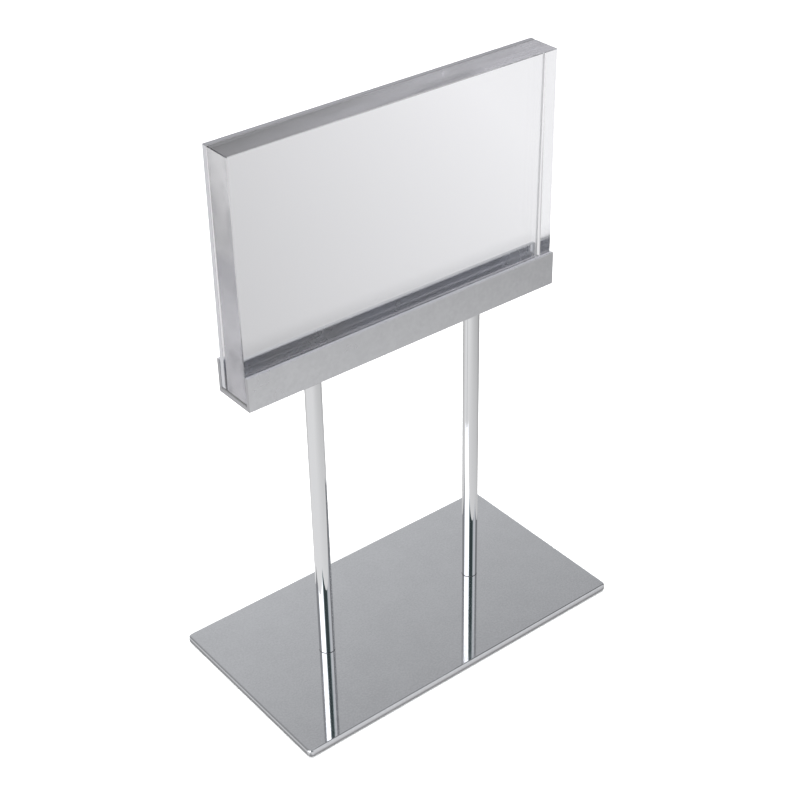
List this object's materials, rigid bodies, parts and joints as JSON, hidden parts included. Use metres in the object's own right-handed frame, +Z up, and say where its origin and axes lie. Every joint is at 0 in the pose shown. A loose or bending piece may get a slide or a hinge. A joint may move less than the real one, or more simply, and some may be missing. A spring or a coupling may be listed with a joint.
{
  "type": "counter sign stand",
  "caption": "Counter sign stand: a clear acrylic block and back panel stand in a polished U-channel carried by twin round stems on a thin rectangular plate.",
  "frame": {"origin": "centre of the footprint, on the surface that the pads stand on", "axes": "+Z up, +X along the sign, -Y towards the reader"},
  "size_m": [0.166, 0.092, 0.2498],
  "materials": {
    "polished_plate": "mirror polished chrome plate on steel",
    "stem_chrome": "mirror chrome tube",
    "channel_satin": "chrome plated with a slightly soft reflection",
    "plug_steel": "turned zinc plated steel",
    "screw_steel": "zinc plated steel",
    "pad_rubber": "matt black self-adhesive pad",
    "liner_foam": "matt dark cushion strip",
    "clear_acrylic": "clear cast acrylic with polished edges"
  },
  "bodies": {
    "stand": {"base_plate": "polished_plate", "foot_pad_front_left": "pad_rubber", "foot_pad_front_right": "pad_rubber", "foot_pad_rear_left": "pad_rubber", "foot_pad_rear_right": "pad_rubber", "stem_left": "stem_chrome", "stem_right": "stem_chrome", "stem_lower_plug_left": "plug_steel", "stem_lower_plug_right": "plug_steel", "stem_upper_plug_left": "plug_steel", "stem_upper_plug_right": "plug_steel", "base_screw_left": "screw_steel", "base_screw_right": "screw_steel", "channel": "channel_satin", "channel_screw_left": "screw_steel", "channel_screw_right": "screw_steel", "channel_liner": "liner_foam"},
    "front_block": {"acrylic_block": "clear_acrylic"},
    "rear_panel": {"back_panel": "clear_acrylic", "slot_spacer": "clear_acrylic"}
  },
  "joints": [
    {"name": "block_lift", "type": "slide", "parent": "stand", "child": "front_block", "axis": [0, 0, 1], "range_m": [0, 0.03]},
    {"name": "panel_lift", "type": "slide", "parent": "stand", "child": "rear_panel", "axis": [0, 0, 1], "range_m": [0, 0.03]}
  ]
}
